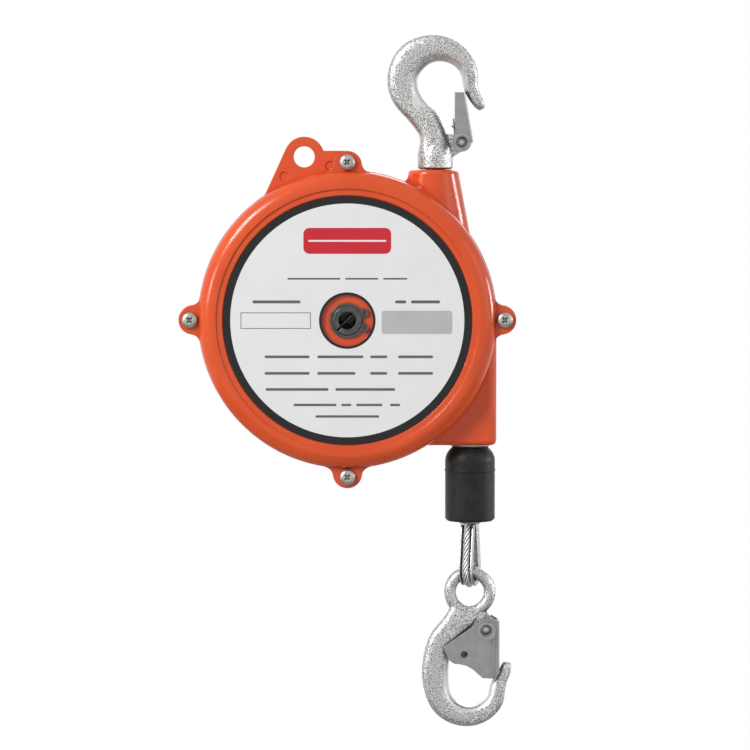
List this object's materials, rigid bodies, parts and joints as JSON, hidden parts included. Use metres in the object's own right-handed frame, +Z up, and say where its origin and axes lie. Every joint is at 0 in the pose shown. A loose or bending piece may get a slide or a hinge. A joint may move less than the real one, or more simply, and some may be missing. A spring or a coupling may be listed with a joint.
{
  "type": "spring tool balancer",
  "caption": "Round die-cast spring balancer that hangs from a swivel hook with a spring latch, and pays out a wire rope with a rubber buffer and a second latched hook.",
  "frame": {"origin": "seat in the crown of the suspension hook, on the swivel's axis", "axes": "+Z up along the swivel's axis, -Y to the front where the name plate is, +X to the side that the rope leaves on"},
  "size_m": [0.17, 0.0519, 0.3521],
  "materials": {
    "orange_paint": "gloss",
    "plate": "satin",
    "forged_zinc": "dull galvanised",
    "pressed_zinc": "satin zinc",
    "fastener": "satin zinc",
    "spring_steel": "dark oiled",
    "machined_steel": "fine turned",
    "cast_aluminium": "cast",
    "bronze": "dull",
    "rubber": "matt black",
    "wire_rope": "galvanised strand"
  },
  "bodies": {
    "suspension": {"suspension_hook": "forged_zinc", "suspension_latch_rivet": "fastener", "suspension_latch_spring": "spring_steel", "swivel_washer": "fastener", "swivel_nut": "fastener", "swivel_nut_pin": "spring_steel"},
    "suspension_gate": {"suspension_latch": "pressed_zinc"},
    "casing": {"housing": "orange_paint", "front_cover": "orange_paint", "name_plate": "plate", "cover_screws": "fastener", "spring_arbor": "machined_steel", "arbor_circlip": "spring_steel", "main_spring": "spring_steel", "cable_guide": "machined_steel"},
    "drum": {"cable_drum": "cast_aluminium", "drum_lid": "cast_aluminium", "lid_screws": "fastener", "front_drum_bush": "bronze", "rear_drum_bush": "bronze", "spring_rivet": "fastener", "wound_cable": "wire_rope", "cable_end_stop": "machined_steel"},
    "load": {"cable_run": "wire_rope", "rubber_buffer": "rubber", "cable_ferrule": "machined_steel", "cable_loop": "wire_rope", "thimble": "pressed_zinc"},
    "hook": {"load_hook": "forged_zinc", "load_latch_rivet": "fastener", "load_latch_spring": "spring_steel"},
    "hook_gate": {"load_latch": "pressed_zinc"}
  },
  "joints": [
    {"name": "suspension_latch_hinge", "type": "hinge", "parent": "suspension", "child": "suspension_gate", "pos_m": [0.0132, 0, -0.0405], "axis": [0, -1, 0], "range_deg": [0, 25], "stiffness_Nm_per_rad": 0.02, "springref_deg": -34.38},
    {"name": "housing_swivel", "type": "hinge", "parent": "suspension", "child": "casing", "pos_m": [0, 0, -0.0545], "axis": [0, 0, 1], "continuous": true},
    {"name": "rope_travel", "type": "slide", "parent": "casing", "child": "load", "axis": [0, 0, -1], "range_m": [0, 3], "stiffness_N_per_m": 6.667, "springref_m": -4.5, "deforming": ["cable_run"]},
    {"name": "drum_turn", "type": "hinge", "parent": "casing", "child": "drum", "pos_m": [-0.0444, 0, -0.1298], "axis": [0, 1, 0], "range_deg": [0, 2764]},
    {"name": "load_hook_swing", "type": "hinge", "parent": "load", "child": "hook", "pos_m": [0.0178, 0, -0.2693], "axis": [0, 1, 0], "range_deg": [-90, 90]},
    {"name": "load_latch_hinge", "type": "hinge", "parent": "hook", "child": "hook_gate", "pos_m": [0.0259, 0, -0.2879], "axis": [0, 1, 0], "range_deg": [0, 50], "stiffness_Nm_per_rad": 0.02, "springref_deg": -34.38}
  ],
  "couplings": [
    {"joint": "drum_turn", "follows": "rope_travel", "rad_per_m": 16.077}
  ]
}
